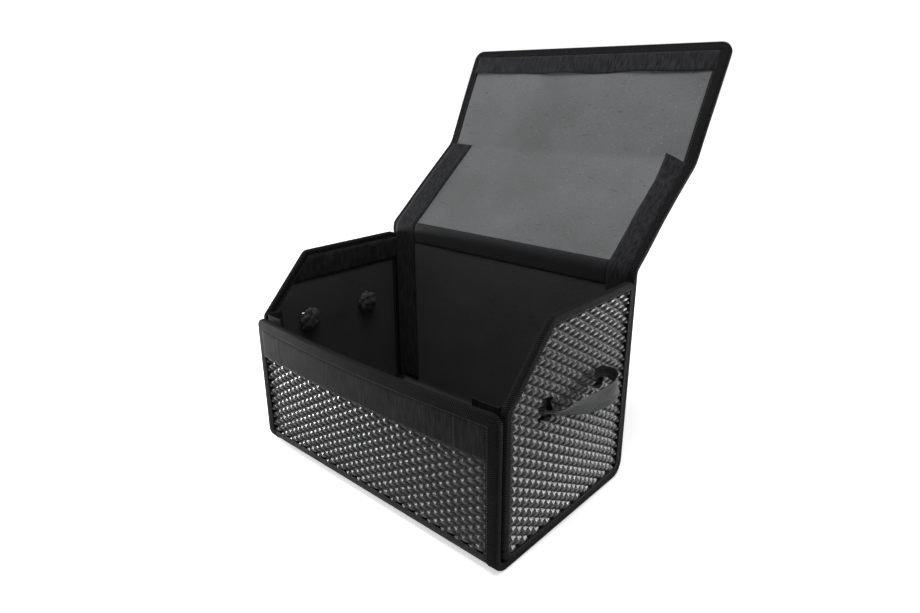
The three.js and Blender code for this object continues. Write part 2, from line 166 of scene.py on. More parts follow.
# Radius of the middle plane in the two bends of the base, in the hinge and in the lid's fold.
floor_bend = 0.0175
hinge_bend = 0.014
fold_bend = 0.045
lid_rise = math.atan2(fold.z - hinge.z, fold.y - hinge.y)
slope_rise = math.atan2(flap.z - fold.z, flap.y - fold.y)
end_length = 0.042
hinge_run = hinge_bend * math.tan((math.pi / 2 - lid_rise) / 2)
fold_run = fold_bend * math.tan((slope_rise - lid_rise) / 2)
lid_top_length = (fold - hinge).length
slope_length = (flap - fold).length + end_length
base_length = 2 * (depth_half - thick / 2 - floor_bend)
foot = thick / 2 + floor_bend
sheet_runs = [
    (front_height - foot, 0),
    (floor_bend * math.pi / 2, math.pi / 2),
    (base_length, 0),
    (floor_bend * math.pi / 2, math.pi / 2),
    (hinge.z - hinge_run - foot, 0),
    (hinge_bend * (math.pi / 2 - lid_rise), lid_rise - math.pi / 2),
    (lid_top_length - hinge_run - fold_run, 0),
    (fold_bend * (slope_rise - lid_rise), slope_rise - lid_rise),
    (slope_length - fold_run, 0),
]
run_starts = []
start_s, start_y, start_z, heading = 0.0, -depth_half + thick / 2, front_height, -math.pi / 2
for length, turn in sheet_runs:
    run_starts.append((start_s, start_y, start_z, heading))
    chord = length if turn == 0 else 2 * (length / turn) * math.sin(turn / 2)
    start_y += chord * math.cos(heading + turn / 2)
    start_z += chord * math.sin(heading + turn / 2)
    start_s += length
    heading += turn
sheet_length = start_s
front_end, base_start, base_end, back_start = (run_starts[i][0] for i in (1, 2, 3, 4))
hinge_s = run_starts[5][0] + sheet_runs[5][0] / 2
fold_s = run_starts[7][0] + sheet_runs[7][0] / 2
flap_s = sheet_length - end_length
# The real sheet is not quite flat: the front wall bows out, and the lid sags, leans to the left in
# the middle and widens to the right at its end. Under the base the tape is pressed flat.
front_bow = 0.011
lid_shift = -0.004
lid_spread = 0.006
lid_sag = 0.004
pressed = 0.25


def smooth(t):
    t = min(max(t, 0.0), 1.0)
    return t * t * (3 - 2 * t)


def on_sheet(x, s, off):
    """Place of a point of the sheet: across, along, and off its middle plane to the outside."""
    index = max(i for i in range(len(run_starts)) if i == 0 or s >= run_starts[i][0])
    run_s, run_y, run_z, run_heading = run_starts[index]
    length, turn = sheet_runs[index]
    part = s - run_s
    bent = turn * part / length
    chord = part if turn == 0 else 2 * (length / turn) * math.sin(bent / 2)
    y = run_y + chord * math.cos(run_heading + bent / 2) + off * math.sin(run_heading + bent)
    z = run_z + chord * math.sin(run_heading + bent / 2) - off * math.cos(run_heading + bent)
    across = 1 - (x / sheet_half) ** 2
    if s < front_end:
        y -= front_bow * across * smooth(1 - s / front_end)
    if s > hinge_s:
        lid_part = (s - hinge_s) / (sheet_length - hinge_s)
        x += lid_shift * math.sin(math.pi * lid_part) * smooth(lid_part * 4)
        x += lid_spread * smooth(lid_part) * max(x / sheet_half, 0)
        z -= lid_sag * across * math.sin(math.pi * lid_part)
    return Vector((x, y, z))


def wrap_sheet(bm):
    """Lays a flat mesh (across, along, off) on the sheet, pressed flat under the base."""
    for vert in bm.verts:
        place = on_sheet(*vert.co)
        if place.z < 0:
            place.z *= pressed
        vert.co = place
    bmesh.ops.reverse_faces(bm, faces=bm.faces)


def finish_piece(name, bm, material, shade_smooth=True):
    mesh = bpy.data.meshes.new(name)
    for face in bm.faces:
        face.smooth = shade_smooth
    bm.to_mesh(mesh)
    bm.free()
    piece = bpy.data.objects.new(name, mesh)
    mesh.materials.append(material)
    bpy.context.scene.collection.objects.link(piece)
    return piece


def cut(bm, place, direction):
    """Takes away what lies beyond a plane."""
    geom = bm.verts[:] + bm.edges[:] + bm.faces[:]
    bmesh.ops.bisect_plane(
        bm, geom=geom, dist=1e-6, plane_co=place, plane_no=direction, clear_outer=True
    )


# The sheet crosses three folds, so each of its layers is cut into four stretches. The first stays
# with the box, and each of the others spans one fold of the lid.
lid_top_middle = (hinge_s + fold_s) / 2
slope_middle = (fold_s + flap_s) / 2
wall_turn = hinge_s - 0.06
up = Vector((0, 0, 1))
along_lid = (fold - hinge).normalized()
along_slope = (flap - fold).normalized()
stretches = [
    ("body", 0.0, wall_turn, None),
    ("hinge", wall_turn, lid_top_middle, ("body", "lid_top", hinge, up, along_lid)),
    ("fold", lid_top_middle, slope_middle, ("lid_top", "lid_slope", fold, along_lid, along_slope)),
    ("end", slope_middle, sheet_length, ("lid_slope", "lid_end", flap, along_slope, along_slope)),
]


def join_frame(piece, bend):
    """Lets a piece ride on the box; any other piece only has its transform baked in and stays where
    it is.
    """
    if bend is None:
        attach(piece, "body")
        return
    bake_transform(piece)


# Materials of the mat: matt charcoal foam. A fine grain and slow changes of tone are shared by
# the studded outer face and the smooth inner face.
def new_group(name, outputs, inputs=()):
    group = bpy.data.node_groups.new(name, "ShaderNodeTree")
    for label, value in inputs:
        socket = group.interface.new_socket(label, in_out="INPUT", socket_type="NodeSocketFloat")
        socket.default_value = value
    for label in outputs:
        group.interface.new_socket(label, in_out="OUTPUT", socket_type="NodeSocketFloat")
    ends = group.nodes.new("NodeGroupInput"), group.nodes.new("NodeGroupOutput")
    return group, *ends


grain_group, grain_in, grain_out = new_group(
    "foam_grain", ["Height", "Tone"], [("Grain", 1400.0), ("Patches", 14.0)]
)
foam_place = add_node(grain_group, "TexCoord").outputs["Object"]
fine = add_node(
    grain_group,
    "TexNoise",
    {"Vector": foam_place, "Scale": grain_in.outputs["Grain"], "Detail": 3.0},
)
patches = add_node(
    grain_group,
    "TexNoise",
    {"Vector": foam_place, "Scale": grain_in.outputs["Patches"], "Detail": 4.0},
)
grain_tone = calculate(grain_group, "ADD", fine.outputs["Fac"], patches.outputs["Fac"])
grain_group.links.new(fine.outputs["Fac"], grain_out.inputs["Height"])
grain_group.links.new(grain_tone, grain_out.inputs["Tone"])


def new_material(name, roughness, sheen=0.0, specular=0.5):
    material = bpy.data.materials.new(name)
    material.use_nodes = True
    shader = material.node_tree.nodes["Principled BSDF"]
    shader.inputs["Roughness"].default_value = roughness
    shader.inputs["Specular IOR Level"].default_value = specular
    shader.inputs["Sheen Weight"].default_value = sheen
    shader.inputs["Sheen Roughness"].default_value = 0.6
    return material, material.node_tree, shader


def mix_colours(tree, share, first, second):
    """Mixes two colours, each of them given as a value or as a socket."""
    links = {"Factor": share, 6: first, 7: second}
    return add_node(tree, "Mix", links, data_type="RGBA").outputs[2]


def colour_between(tree, value, low, high, dark, light):
    return mix_colours(tree, ramp(tree, value, low, high), (*dark, 1), (*light, 1))


def paint(tree, shader, colour, height, distance):
    """Gives the shader its colour, and the grain of its surface with the grain's depth."""
    bump = add_node(tree, "Bump", {"Height": height, "Distance": distance, "Strength": 1.0})
    tree.links.new(bump.outputs["Normal"], shader.inputs["Normal"])
    tree.links.new(colour, shader.inputs["Base Color"])


def use_group(tree, group, **values):
    node = tree.nodes.new("ShaderNodeGroup")
    node.node_tree = group
    for key, value in values.items():
        node.inputs[key].default_value = value
    return node


studded_foam, tree, shader = new_material("studded_foam", 0.36, specular=0.35)
grain = use_group(tree, grain_group, Grain=900.0, Patches=18.0)
studded_colour = colour_between(
    tree, grain.outputs["Tone"], 0.75, 1.25, (0.014, 0.0145, 0.0155), (0.026, 0.0265, 0.028)
)
paint(tree, shader, studded_colour, grain.outputs["Height"], 0.0004)

# The inner face has fine scratches and pale flecks. Inside the box its colour carries painted
# shade, darker than on the lid.
smooth_foam, tree, shader = new_material("smooth_foam", 0.7, specular=0.25)
grain = use_group(tree, grain_group, Grain=520.0, Patches=9.0)
smooth_colour = colour_between(
    tree, grain.outputs["Tone"], 0.7, 1.3, (0.056, 0.057, 0.058), (0.09, 0.0915, 0.094)
)
foam_place = add_node(tree, "TexCoord").outputs["Object"]
fleck_cells = add_node(tree, "TexVoronoi", {"Vector": foam_place, "Scale": 70.0, "Randomness": 1.0})
fleck = ramp(tree, fleck_cells.outputs["Distance"], 0.06, 0.1, start=1.0, end=0.0)
scratch_place = add_node(
    tree,
    "Mapping",
    {"Vector": foam_place, "Rotation": (0.5, 0.3, 0.6), "Scale": (26.0, 9.0, 160.0)},
).outputs["Vector"]
scratch_field = add_node(
    tree, "TexNoise", {"Vector": scratch_place, "Scale": 3.0, "Detail": 2.0, "Distortion": 0.6}
)
scratch = ramp(tree, scratch_field.outputs["Fac"], 0.66, 0.72)
fleck_share = calculate(tree, "MULTIPLY", fleck, 0.35)
scratch_share = calculate(tree, "MULTIPLY", scratch, 0.6)
flecked = mix_colours(tree, fleck_share, smooth_colour, (0.2, 0.2, 0.21, 1))
marked = mix_colours(tree, scratch_share, flecked, (0.02, 0.02, 0.02, 1))
# Painted shade: below the box's top edge the colour falls to 0.42 of the lid's, standing for the
# shade between the walls.
height = add_node(tree, "SeparateXYZ", {"Vector": foam_place}).outputs["Z"]
painted_shade_factor = ramp(tree, height, 0.30, 0.325, start=0.42)
shade_painted_colour = mix_colours(tree, painted_shade_factor, (0.0, 0.0, 0.0, 1), marked)
paint(tree, shader, shade_painted_colour, grain.outputs["Height"], 0.00025)

# Studded outer face of the mat: rhombic studs like low pyramids with narrow grooves between them,
# 24 mm wide and 14 mm high. Their blunt tips lie in the plane of the sheet's outer face.
cell_width = 0.0244
cell_height = 0.0142
groove_width = 0.0003
stud_slope_run = 0.0051
stud_height = 0.0042


def studded_face(low_x, low_s, high_x, high_s):
    """Flat studded face over a rectangle, with the tips of its studs at height zero."""
    bm = bmesh.new()
    wide = (high_x - low_x) / cell_width
    tall = (high_s - low_s) / cell_height
    count = 2 * math.ceil((wide + tall) / 2 + 1)
    bmesh.ops.create_grid(bm, x_segments=count, y_segments=count, size=count / 2)
    middle_x = cell_width * round((low_x + high_x) / 2 / cell_width)
    middle_s = cell_height * round((low_s + high_s) / 2 / cell_height)
    spread = Matrix.Diagonal((cell_width, cell_height, 1, 1)) @ Matrix.Scale(math.sqrt(0.5), 4)
    turned = Matrix.Rotation(math.pi / 4, 4, "Z")
    bmesh.ops.transform(bm, matrix=spread @ turned, verts=bm.verts)
    bmesh.ops.translate(bm, vec=(middle_x, middle_s, -stud_height), verts=bm.verts)
    outside = []
    for face in bm.faces:
        centre = face.calc_center_median()
        beyond_x = max(low_x - centre.x, centre.x - high_x)
        beyond_s = max(low_s - centre.y, centre.y - high_s)
        if beyond_x > cell_width / 2 or beyond_s > cell_height / 2:
            outside.append(face)
    bmesh.ops.delete(bm, geom=outside, context="FACES")
    studs = bm.faces[:]
    bmesh.ops.inset_individual(bm, faces=studs, thickness=groove_width, depth=0)
    bmesh.ops.inset_individual(bm, faces=studs, thickness=stud_slope_run, depth=stud_height)
    return bm


def trim_rectangle(bm, low_x, low_s, high_x, high_s):
    cut(bm, (low_x, 0, 0), (-1, 0, 0))
    cut(bm, (high_x, 0, 0), (1, 0, 0))
    cut(bm, (0, low_s, 0), (0, -1, 0))
    cut(bm, (0, high_s, 0), (0, 1, 0))


def sink_rim(bm, depth, edges=None, joins=()):
    """Turns the free edges of a face down into the mat, but not where the next stretch joins."""
    if edges is None:
        edges = [edge for edge in bm.edges if edge.is_boundary]
    for join in joins:
        edges = [edge for edge in edges if any(abs(v.co.y - join) > 1e-5 for v in edge.verts)]
    grown = bmesh.ops.extrude_edge_only(bm, edges=edges)["geom"]
    for vert in grown:
        if isinstance(vert, bmesh.types.BMVert):
            vert.co.z = depth


tape_cover = 0.018
under_tape = 0.004
window = sheet_half - tape_cover + under_tape
strip_foot = 0.157
bend_edge = 0.0005
rim_depth = 0.0044
cut_lines = [wall_turn, lid_top_middle, slope_middle]
outer_windows = {
    "body": [
        (front_height - strip_foot - under_tape, front_end - bend_edge),
        (base_start + under_tape, base_end - under_tape),
        (back_start + bend_edge, wall_turn),
    ],
    "hinge": [(wall_turn, lid_top_middle)],
    "fold": [(lid_top_middle, slope_middle)],
    "end": [(slope_middle, sheet_length - tape_cover + under_tape)],
}
for stretch, _, _, bend in stretches:
    whole = bmesh.new()
    for start, end in outer_windows[stretch]:
        face = studded_face(-window, start, window, end)
        trim_rectangle(face, -window, start, window, end)
        sink_rim(face, -rim_depth, joins=cut_lines)
        for vert in face.verts:
            vert.co.z += thick / 2
        wrap_sheet(face)
        part_mesh = bpy.data.meshes.new("studs")
        face.to_mesh(part_mesh)
        face.free()
        whole.from_mesh(part_mesh)
        bpy.data.meshes.remove(part_mesh)
    piece = finish_piece(stretch + "_studded_face", whole, studded_foam, shade_smooth=False)
    join_frame(piece, bend)

# Smooth inner face of the same sheet, slightly uneven as foam is. The first stretch, with the
# studded faces, stands for the box's sheet, and the others for the lid's three panels.
inner_step = 0.008
unevenness = 0.0005
dents_per_metre = 22
inner_nodes = {
    "body": ["body_sheet"],
    "hinge": ["lid_top_panel"],
    "fold": ["lid_slope_panel"],
    "end": ["lid_end_panel"],
}
for stretch, low_s, high_s, bend in stretches:
    start = low_s + tape_cover - under_tape if low_s == 0 else low_s
    end = high_s - tape_cover + under_tape if high_s == sheet_length else high_s
    bm = bmesh.new()
    bmesh.ops.create_grid(
        bm,
        x_segments=math.ceil(2 * window / inner_step),
        y_segments=math.ceil((end - start) / inner_step) * 2,
        size=1,
        matrix=Matrix.Translation((0, (start + end) / 2, 0))
        @ Matrix.Diagonal((window, (end - start) / 2, 1, 1)),
    )
    bmesh.ops.reverse_faces(bm, faces=bm.faces)
    for vert in bm.verts:
        dent = vert.co * dents_per_metre
        uneven = noise.noise(Vector((dent.x, dent.y, 3.7)))
        vert.co.z = -thick / 2 + unevenness * uneven
    sink_rim(bm, 0.0, joins=cut_lines)
    wrap_sheet(bm)
    piece = finish_piece(stretch + "_inner_face", bm, smooth_foam)
    join_frame(piece, bend)
    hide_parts(*inner_nodes[stretch])

# Woven edge tape: a knitted band folded over every edge of the sheet and sewn through. Its ribs
# run across it, so the weave follows the edge by the tape's own two measures, along and across.
tape_group, tape_in, tape_out = new_group("tape_weave", ["Height", "Tone"], [("Rib", 0.0026)])
tape_along = add_node(tape_group, "Attribute", attribute_name="along").outputs["Fac"]
tape_across = add_node(tape_group, "Attribute", attribute_name="across").outputs["Fac"]


def wave(tree, value, period):
    turns = calculate(tree, "DIVIDE", value, period)
    return calculate(tree, "SINE", calculate(tree, "MULTIPLY", turns, 2 * math.pi))


slant = calculate(tape_group, "PINGPONG", tape_across, 0.0044)
slanted = calculate(tape_group, "MULTIPLY_ADD", slant, 0.55, tape_along)
ribs = wave(tape_group, slanted, tape_in.outputs["Rib"])
cross_ribs = wave(tape_group, tape_across, 0.0011)
knit = calculate(tape_group, "MULTIPLY_ADD", cross_ribs, 0.35, ribs)
tape_place = add_node(tape_group, "TexCoord").outputs["Object"]
fuzz = add_node(tape_group, "TexNoise", {"Vector": tape_place, "Scale": 2200.0, "Detail": 2.0})
tape_height = calculate(tape_group, "MULTIPLY_ADD", fuzz.outputs["Fac"], 0.7, knit)
tape_group.links.new(tape_height, tape_out.inputs["Height"])
tape_group.links.new(tape_height, tape_out.inputs["Tone"])

edge_weave, tree, shader = new_material("edge_weave", 0.75, specular=0.03)
weave = use_group(tree, tape_group, Rib=0.0026)
tape_colour = colour_between(
    tree, weave.outputs["Tone"], 0.0, 1.6, (0.0006, 0.0006, 0.0008), (0.024, 0.0245, 0.026)
)
paint(tree, shader, tape_colour, weave.outputs["Height"], 0.0003)


least_corner = 0.0006


def rounded_outline(corners, inset, step, corner_steps=10):
    """Points round a convex outline of corners (a, b, radius), moved inwards by inset."""
    count = len(corners)
    sides = []
    for i, (a, b, _) in enumerate(corners):
        next_a, next_b, _ = corners[(i + 1) % count]
        run = Vector((next_a - a, next_b - b))
        inward = Vector((-run.y, run.x)).normalized()
        sides.append((Vector((a, b)) + inward * inset, run.normalized(), run.length))
    tips = []
    for i, (_, _, radius) in enumerate(corners):
        (place_0, run_0, _), (place_1, run_1, _) = sides[i - 1], sides[i]
        cross = run_0.x * run_1.y - run_0.y * run_1.x
        offset = place_1 - place_0
        reach = (offset.x * run_1.y - offset.y * run_1.x) / cross
        tip = place_0 + run_0 * reach
        turn = math.atan2(cross, run_0.dot(run_1))
        bend = max(radius - inset, least_corner)
        back = bend * math.tan(turn / 2)
        arc_start = tip - run_0 * back
        centre = arc_start + Vector((-run_0.y, run_0.x)) * bend
        first = math.atan2(arc_start.y - centre.y, arc_start.x - centre.x)
        arc = []
        for k in range(corner_steps + 1):
            angle = first + turn * k / corner_steps
            arc.append(centre + bend * Vector((math.cos(angle), math.sin(angle))))
        tips.append(arc)
    points = []
    for i in range(count):
        points += tips[i]
        straight = max(math.ceil(sides[i][2] / step), 2)
        after = tips[(i + 1) % count][0]
        for k in range(1, straight):
            points.append(tips[i][-1].lerp(after, k / straight))
    return points


def edge_tape(corners, cover, step):
    """Flat mesh of the tape round an outline: a closed section that grips both faces of the mat."""
    lip, proud, skin = 0.0038, 0.0056, 0.0051
    # Half of the section: how far in from the edge, and how far off the middle plane.
    half = [
        (cover, lip),
        (cover - 0.0002, skin),
        (cover - 0.0012, proud),
        (cover * 0.5, proud - 0.0001),
        (0.0028, proud - 0.0002),
        (0.001, 0.0046),
        (0.0001, 0.0022),
    ]
    section = half + [(inset, -off) for inset, off in reversed(half)] + [half[0]]
    bm = bmesh.new()
    layer = bm.verts.layers.int.new("place")
    along = bm.verts.layers.float.new("along")
    across = bm.verts.layers.float.new("across")
    outer = rounded_outline(corners, 0, step)
    runs = [0.0]
    for before, after in zip(outer, outer[1:]):
        runs.append(runs[-1] + (after - before).length)
    ring = bmesh.ops.create_circle(bm, segments=len(outer), radius=1)["verts"]
    for i, vert in enumerate(ring):
        vert[layer] = i
        vert[along] = runs[i]
    edges = bm.edges[:]
    verts = bm.verts[:]
    travelled = 0.0
    for k, (inset, off) in enumerate(section):
        if k > 0:
            geom = bmesh.ops.extrude_edge_only(bm, edges=edges)["geom"]
            verts = [item for item in geom if isinstance(item, bmesh.types.BMVert)]
            edges = [item for item in geom if isinstance(item, bmesh.types.BMEdge)]
            edges = [edge for edge in edges if edge.is_boundary]
            last_inset, last_off = section[k - 1]
            travelled += math.hypot(inset - last_inset, off - last_off)
        outline = rounded_outline(corners, inset, step)
        for vert in verts:
            vert.co = (*outline[vert[layer]], off)
            vert[across] = travelled
    bmesh.ops.remove_doubles(bm, verts=bm.verts, dist=1e-7)
    bmesh.ops.recalc_face_normals(bm, faces=bm.faces)
    return bm


front_corner = 0.014
lid_corner = 0.018
tape_step = 0.006
sheet_corners = [
    (-sheet_half, 0.0, front_corner),
    (sheet_half, 0.0, front_corner),
    (sheet_half, sheet_length, lid_corner),
    (-sheet_half, sheet_length, lid_corner),
]
tape_nodes = {
    "body": ["body_edge_tape"],
    "hinge": ["right_lid_top_tape", "left_lid_top_tape"],
    "fold": ["right_lid_slope_tape", "left_lid_slope_tape"],
    "end": ["lid_end_tape"],
}
for stretch, low_s, high_s, bend in stretches:
    bm = edge_tape(sheet_corners, tape_cover, tape_step)
    if low_s > 0:
        cut(bm, (0, low_s, 0), (0, -1, 0))
    if high_s < sheet_length:
        cut(bm, (0, high_s, 0), (0, 1, 0))
    wrap_sheet(bm)
    piece = finish_piece(stretch + "_edge_tape_woven", bm, edge_weave)
    join_frame(piece, bend)
    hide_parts(*tape_nodes[stretch])

# Stitches: one row of dark thread near the inner edge of the tape, which holds both of its sides
# on the mat. Each stitch is a short flattened bead on either face.
thread, tree, shader = new_material("thread", 0.5, specular=0.25)
thread_place = add_node(tree, "TexCoord").outputs["Object"]
twist = add_node(tree, "TexNoise", {"Vector": thread_place, "Scale": 3000.0, "Detail": 1.0})
thread_colour = colour_between(
    tree, twist.outputs["Fac"], 0.3, 0.7, (0.03, 0.03, 0.032), (0.075, 0.075, 0.08)
)
paint(tree, shader, thread_colour, twist.outputs["Fac"], 0.0001)
stitch_length = 0.0027
stitch_pitch = 0.0038
stitch_width = 0.0007
stitch_half_thick = 0.0004
on_tape = 0.0057
seam_step = 0.004


def stitch_line(bm, points, off, closed=False):
    """Adds stitches along a line of flat points, at a height off the middle plane."""
    if closed:
        points = points + points[:1]
    left_over = 0.0
    for before, after in zip(points, points[1:]):
        run = after - before
        if run.length < 1e-7:
            continue
        direction = run.normalized()
        turn = Matrix.Rotation(math.atan2(direction.y, direction.x), 4, "Z")
        at = left_over
        while at < run.length:
            place = before + direction * at
            shape = Matrix.Diagonal((stitch_length / 2, stitch_width / 2, stitch_half_thick, 1))
            where = Matrix.Translation((place.x, place.y, off))
            bmesh.ops.create_icosphere(bm, subdivisions=1, radius=1, matrix=where @ turn @ shape)
            at += stitch_pitch
        left_over = at - run.length


seam_inset = 0.003
stitch_outline = rounded_outline(sheet_corners, tape_cover - seam_inset, seam_step)
for stretch, low_s, high_s, bend in stretches:
    bm = bmesh.new()
    run = []
    for point in stitch_outline + stitch_outline[:1]:
        if low_s <= point.y < high_s:
            run.append(point)
            continue
        for off in (on_tape, -on_tape):
            stitch_line(bm, run, off)
        run = []
    for off in (on_tape, -on_tape):
        stitch_line(bm, run, off)
    wrap_sheet(bm)
    piece = finish_piece(stretch + "_tape_stitches", bm, thread)
    join_frame(piece, bend)

# Smooth woven tape over the two bends along the base, sewn flat on the outside of the mat where
# the studs are pressed away.
fold_weave, tree, shader = new_material("fold_weave", 0.7, sheen=0.02, specular=0.1)
fold_place = add_node(tree, "TexCoord").outputs["Object"]
fold_parts = add_node(tree, "SeparateXYZ", {"Vector": fold_place})
fold_ribs = wave(tree, fold_parts.outputs["X"], 0.0012)
fold_fuzz = add_node(tree, "TexNoise", {"Vector": fold_place, "Scale": 700.0, "Detail": 4.0})
fold_height = calculate(tree, "MULTIPLY_ADD", fold_fuzz.outputs["Fac"], 2.0, fold_ribs)
fold_colour = colour_between(
    tree, fold_height, 0.2, 1.9, (0.002, 0.002, 0.003), (0.016, 0.0165, 0.018)
)
paint(tree, shader, fold_colour, fold_height, 0.0002)
strip_edge_drop = 0.0003
broad_wrinkles = 30
fine_wrinkles = 80


def flat_strip(
    low_x, low_s, high_x, high_s, base, top, step=0.006, wrinkle=0.0, seed=0.0, joins=()
):
    """Flat mesh of a strip that lies on the mat, with a soft edge and slight wrinkles."""
    bm = bmesh.new()
    wide, tall = high_x - low_x, high_s - low_s
    place = Matrix.Translation(((low_x + high_x) / 2, (low_s + high_s) / 2, 0))
    bmesh.ops.create_grid(
        bm,
        x_segments=max(math.ceil(wide / step), 2),
        y_segments=max(math.ceil(tall / step), 2),
        size=1,
        matrix=place @ Matrix.Diagonal((wide / 2, tall / 2, 1, 1)),
    )
    rim = {vert for edge in bm.edges if edge.is_boundary for vert in edge.verts}
    side = 1 if top > base else -1
    for vert in bm.verts:
        broad, narrow = vert.co * broad_wrinkles, vert.co * fine_wrinkles
        lift = noise.noise(Vector((broad.x, broad.y, seed)))
        lift += 0.5 * noise.noise(Vector((narrow.x, narrow.y, seed + 5)))
        vert.co.z = top + side * wrinkle * lift
        if vert in rim and all(abs(vert.co.y - join) > 1e-5 for join in joins):
            vert.co.z -= side * strip_edge_drop
    sink_rim(bm, base, joins=joins)
    if side < 0:
        bmesh.ops.reverse_faces(bm, faces=bm.faces)
    return bm


fold_tape_half = window - 0.003
fold_tape_back, fold_tape_top = 0.0036, 0.0049
up_wall = 0.001
under_base = 0.005
for name, low_s, high_s in [
    ("front_fold_tape", front_end - up_wall, base_start + under_base),
    ("rear_fold_tape", base_end - under_base, back_start + up_wall),
]:
    bm = flat_strip(
        -fold_tape_half, low_s, fold_tape_half, high_s, fold_tape_back, fold_tape_top, step=0.003
    )
    wrap_sheet(bm)
    piece = finish_piece(name + "_woven", bm, fold_weave)
    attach(piece, "body")
    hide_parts(name)

# Hook-and-loop strips: black felt-like pile on a woven back, sewn on all round. The pile is
# fuzzy, brushed in patches, and shows the lengthwise lines of the weave under it.
pile_group, pile_in, pile_out = new_group("pile_fuzz", ["Height", "Tone"], [("Brushed", 24.0)])
pile_place = add_node(pile_group, "TexCoord").outputs["Object"]
hairs = add_node(
    pile_group,
    "TexNoise",
    {"Vector": pile_place, "Scale": 1100.0, "Detail": 5.0, "Roughness": 0.7},
)
brushed_turn = add_node(pile_group, "Mapping", {"Vector": pile_place, "Scale": (3.2, 1.0, 0.45)})
brushed = add_node(
    pile_group,
    "TexNoise",
    {"Vector": brushed_turn.outputs["Vector"], "Scale": pile_in.outputs["Brushed"], "Detail": 6.0},
)
pile_tone = calculate(
    pile_group, "MULTIPLY_ADD", hairs.outputs["Fac"], 0.8, brushed.outputs["Fac"]
)
pile_group.links.new(hairs.outputs["Fac"], pile_out.inputs["Height"])
pile_group.links.new(pile_tone, pile_out.inputs["Tone"])

felt, tree, shader = new_material("felt", 0.9, sheen=0.02, specular=0.08)
fuzzy = use_group(tree, pile_group, Brushed=110.0)
felt_colour = colour_between(
    tree, fuzzy.outputs["Tone"], 0.7, 1.15, (0.002, 0.002, 0.003), (0.02, 0.0205, 0.022)
)
paint(tree, shader, felt_colour, fuzzy.outputs["Height"], 0.0006)
strip_back = 0.0044
strip_face = 0.006
strip_under_tape = 0.002

# The wide strip outside the front wall, just under the top edge tape. Its upper edge goes under
# the tape, and a seam of the strips inside shows through at both ends.
outer_low = tape_cover - strip_under_tape
outer_high = front_height - strip_foot
bm = flat_strip(
    -window, outer_low, window, outer_high, strip_back, strip_face, wrinkle=0.0003, seed=1.3
)
wrap_sheet(bm)
piece = finish_piece("outer_loop_strip_felt", bm, felt)
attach(piece, "body")
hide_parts("outer_loop_strip")

seams = bmesh.new()
inner_seam_x = 0.184
seam_end = 0.004
seam_margin = 0.006
on_strip = 0.0063
on_studs = 0.0047
for x in (-inner_seam_x, inner_seam_x):
    seam = [Vector((x, outer_low + seam_end)), Vector((x, outer_high - seam_end))]
    stitch_line(seams, seam, on_strip)
    below = [Vector((x, outer_high + seam_end)), Vector((x, front_end - seam_margin))]
    stitch_line(seams, below, on_studs)
lower_s = outer_high - seam_inset
lower_end = window - seam_margin
stitch_line(seams, [Vector((-lower_end, lower_s)), Vector((lower_end, lower_s))], on_strip)
wrap_sheet(seams)
piece = finish_piece("front_wall_stitches", seams, thread)
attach(piece, "body")

# Strips along both ends of the back wall and of the lid, in one length on the real box. The left
# one lies at the very edge. The right one is narrower, and its upper end has come off and lifts.
end_strips = {"left": (-0.238, -0.190, 0.0), "right": (0.204, 0.238, 0.010)}
rear_foot = back_start + 0.002
strip_head = fold_s - 0.002
peel_length = 0.05
head_slant = 0.45
head_pivot = 0.4
end_strip_face = 0.0064
for side, (low_x, high_x, peel) in end_strips.items():
    for stretch, low_s, high_s, bend in stretches[:3]:
        start = max(low_s, rear_foot)
        end = min(high_s, strip_head)
        bm = flat_strip(
            low_x, start, high_x, end, -strip_back, -end_strip_face,
            wrinkle=0.0006, seed=len(side), joins=cut_lines,
        )
        if peel > 0:
            for vert in bm.verts:
                loose = smooth((vert.co.y - strip_head + peel_length) / peel_length)
                inner = (high_x - vert.co.x) / (high_x - low_x)
                vert.co.z -= loose * peel * inner
                vert.co.y += loose * head_slant * (high_x - low_x) * (inner - head_pivot)
        wrap_sheet(bm)
        node = side + ("_rear_strip" if stretch == "body" else "_lid_strip")
        piece = finish_piece(node + "_" + stretch + "_felt", bm, felt)
        join_frame(piece, bend)
        if stretch != "fold":
            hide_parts(node)

# The hook strip inside the lid's end, which closes on the strip outside the front wall. It is sewn
# along its upper edge and both ends, and its lower edge is loose and wavy.
hook_low = flap_s - 0.004
hook_high = sheet_length - tape_cover + 0.003
hook_back, hook_face = 0.0042, 0.0062
loose_width = 0.014
edge_wander = 0.0022
edge_lift = 0.0035
bm = flat_strip(
    -window, hook_low, window, hook_high, -hook_back, -hook_face,
    step=0.004, wrinkle=0.0004, seed=7.1,
)
for vert in bm.verts:
    loose = smooth(1 - (vert.co.y - hook_low) / loose_width)
    vert.co.y += loose * edge_wander * noise.noise(Vector((vert.co.x * 14, 0.5, 9.0)))
    lift = max(noise.noise(Vector((vert.co.x * 17, 3.5, 2.0))) + 0.2, 0)
    vert.co.z -= loose * edge_lift * lift
wrap_sheet(bm)
piece = finish_piece("lid_hook_strip_pile", bm, felt)
join_frame(piece, stretches[3][3])
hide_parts("lid_hook_strip")

# Tape across the inside of the hinge: the same smooth woven tape, sewn flat between the two end
# strips. It covers the bend itself.
hinge_tape_left, hinge_tape_right = -0.1885, 0.2035
hinge_tape_low = hinge_s - 0.027
hinge_tape_high = hinge_s + 0.006
thin_strip_face = 0.0058
bm = flat_strip(
    hinge_tape_left, hinge_tape_low, hinge_tape_right, hinge_tape_high,
    -strip_back, -thin_strip_face, step=0.004, wrinkle=0.0003,
)
wrap_sheet(bm)
piece = finish_piece("hinge_tape_woven", bm, fold_weave)
join_frame(piece, stretches[1][3])
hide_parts("hinge_tape")

